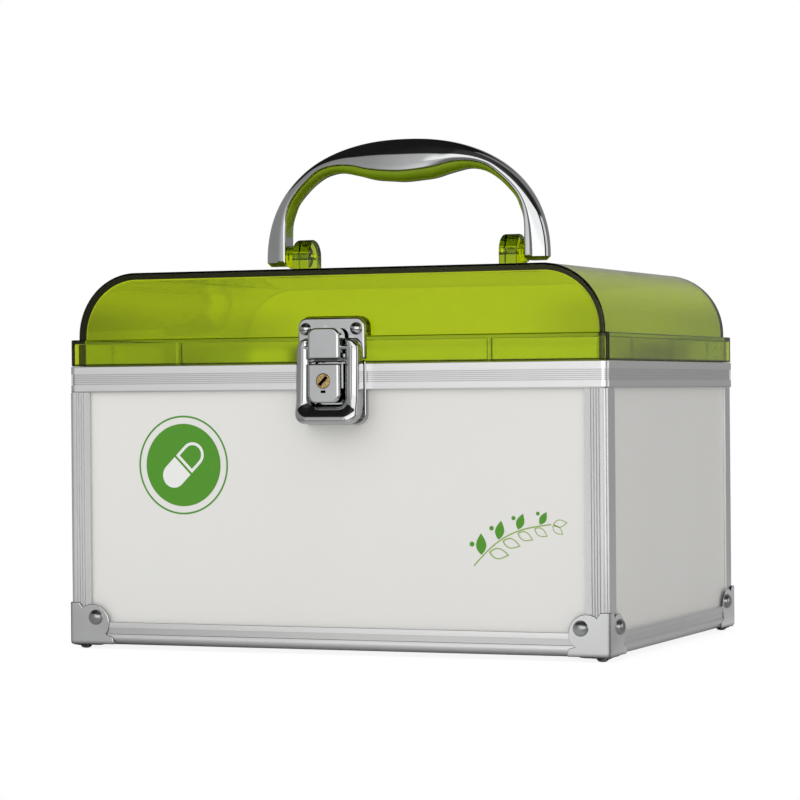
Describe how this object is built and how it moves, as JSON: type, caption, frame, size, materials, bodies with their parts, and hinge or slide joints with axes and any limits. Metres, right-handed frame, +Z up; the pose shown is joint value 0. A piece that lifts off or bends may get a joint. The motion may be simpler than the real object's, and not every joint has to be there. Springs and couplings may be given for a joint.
{
  "type": "medication lock box",
  "caption": "Aluminium-framed case with a domed clear lid, folding handle, rear hinges and a keyed draw latch, for storing medicines under lock.",
  "frame": {"origin": "centre of the overall box on the ground, midway between the latch front and the hinge backs", "axes": "+Z up, -Y the front with the latch, +X to the right seen from the front"},
  "size_m": [0.2654, 0.2054, 0.2352],
  "materials": {
    "board": "white laminate with a low sheen",
    "aluminium": "satin anodised extrusion",
    "bracket_steel": "pressed plated steel",
    "rivet_steel": "bright plated steel",
    "chrome": "polished chrome plate",
    "brass": "plain turned brass",
    "clear_green": "clear yellow-green moulded plastic"
  },
  "bodies": {
    "case": {"front_panel": "board", "right_panel": "board", "back_panel": "board", "left_panel": "board", "bottom_panel": "board", "top_rail_front": "aluminium", "top_rail_right": "aluminium", "top_rail_back": "aluminium", "top_rail_left": "aluminium", "bottom_rail_front": "aluminium", "bottom_rail_right": "aluminium", "bottom_rail_back": "aluminium", "bottom_rail_left": "aluminium", "corner_post_front_left": "aluminium", "corner_post_front_right": "aluminium", "corner_post_back_right": "aluminium", "corner_post_back_left": "aluminium", "corner_bracket_front_left": "bracket_steel", "corner_bracket_front_right": "bracket_steel", "corner_bracket_back_right": "bracket_steel", "corner_bracket_back_left": "bracket_steel", "bracket_rivet_front_left_a": "rivet_steel", "bracket_rivet_front_left_b": "rivet_steel", "bracket_rivet_front_right_a": "rivet_steel", "bracket_rivet_front_right_b": "rivet_steel", "bracket_rivet_back_right_a": "rivet_steel", "bracket_rivet_back_right_b": "rivet_steel", "bracket_rivet_back_left_a": "rivet_steel", "bracket_rivet_back_left_b": "rivet_steel", "latch_base_plate": "chrome", "base_rivet_left": "chrome", "base_rivet_right": "chrome", "lock_body": "chrome", "hinge_body_leaf_left": "bracket_steel", "hinge_body_leaf_right": "bracket_steel", "hinge_pin_left": "rivet_steel", "hinge_pin_right": "rivet_steel", "hinge_body_rivet_left_1": "rivet_steel", "hinge_body_rivet_left_2": "rivet_steel", "hinge_body_rivet_right_1": "rivet_steel", "hinge_body_rivet_right_2": "rivet_steel"},
    "lid": {"lid_shell": "clear_green", "strike_plate": "chrome", "strike_rivet_left": "chrome", "strike_rivet_right": "chrome", "handle_pivot_left": "clear_green", "handle_pivot_right": "clear_green", "hinge_lid_leaf_left": "bracket_steel", "hinge_lid_leaf_right": "bracket_steel", "hinge_lid_rivet_left_1": "rivet_steel", "hinge_lid_rivet_left_2": "rivet_steel", "hinge_lid_rivet_right_1": "rivet_steel", "hinge_lid_rivet_right_2": "rivet_steel"},
    "handle": {"handle_shell": "chrome", "handle_insert": "clear_green"},
    "lever": {"latch_lever": "chrome", "hook_pin": "rivet_steel"},
    "hook": {"latch_hook": "chrome"},
    "key": {"key_cylinder": "brass"}
  },
  "joints": [
    {"name": "lid_hinge", "type": "hinge", "parent": "case", "child": "lid", "pos_m": [0, 0.10043, 0.12935], "axis": [-1, 0, 0], "range_deg": [0, 100]},
    {"name": "handle_swing", "type": "hinge", "parent": "lid", "child": "handle", "pos_m": [0, 0.00323, 0.181], "axis": [1, 0, 0], "range_deg": [-90, 90]},
    {"name": "latch_lever_turn", "type": "hinge", "parent": "case", "child": "lever", "pos_m": [0.0024, -0.09788, 0.136], "axis": [-1, 0, 0], "range_deg": [0, 105]},
    {"name": "latch_hook_turn", "type": "hinge", "parent": "lever", "child": "hook", "pos_m": [0.0024, -0.09788, 0.1303], "axis": [-1, 0, 0], "range_deg": [-132, 0]},
    {"name": "key_turn", "type": "hinge", "parent": "case", "child": "key", "pos_m": [0.0024, -0.10247, 0.1212], "axis": [0, 1, 0], "range_deg": [0, 90]}
  ],
  "couplings": [
    {"joint": "latch_hook_turn", "follows": "latch_lever_turn", "ratio": -1.25}
  ]
}
